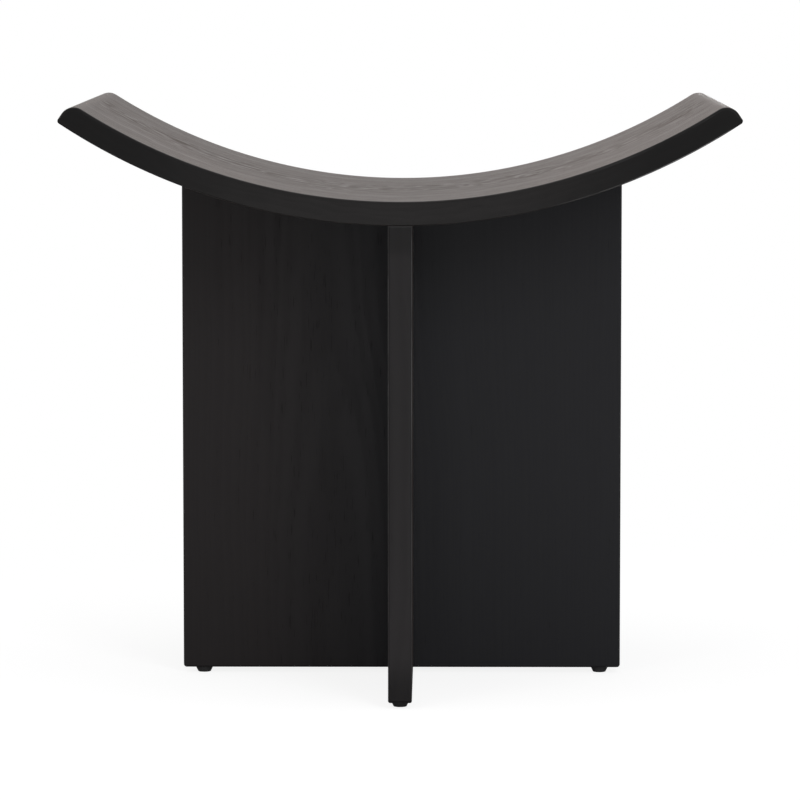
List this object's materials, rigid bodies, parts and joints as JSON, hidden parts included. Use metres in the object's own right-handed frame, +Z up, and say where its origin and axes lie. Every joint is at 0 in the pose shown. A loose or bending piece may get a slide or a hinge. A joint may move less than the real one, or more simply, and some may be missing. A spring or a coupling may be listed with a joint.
{
  "type": "stool",
  "caption": "Stool with a bent wooden seat whose ends rise in a wide arc, carried on upright panels that cross each other and stand on small round glides.",
  "frame": {"origin": "on the floor, under the line where the two panels cross", "axes": "+Z up, +X along the seat from end to end, -Y towards the front"},
  "size_m": [0.5102, 0.38, 0.4527],
  "materials": {
    "seat_wood": "black-stained open-grain wood, satin lacquer",
    "panel_wood": "black-stained open-grain wood, satin lacquer",
    "dowel_wood": "bare beech, fluted",
    "glide_plastic": "black moulded nylon",
    "nail_steel": "bright drawn wire"
  },
  "bodies": {
    "root": {"seat": "seat_wood", "wide_panel": "panel_wood", "cross_panel": "panel_wood", "dowel_wide_left_outer": "dowel_wood", "dowel_wide_left_inner": "dowel_wood", "dowel_wide_right_inner": "dowel_wood", "dowel_wide_right_outer": "dowel_wood", "dowel_cross_front_outer": "dowel_wood", "dowel_cross_front_inner": "dowel_wood", "dowel_cross_back_inner": "dowel_wood", "dowel_cross_back_outer": "dowel_wood", "glide_left": "glide_plastic", "glide_right": "glide_plastic", "glide_front": "glide_plastic", "glide_back": "glide_plastic", "glide_nail_left": "nail_steel", "glide_nail_right": "nail_steel", "glide_nail_front": "nail_steel", "glide_nail_back": "nail_steel"}
  },
  "joints": []
}
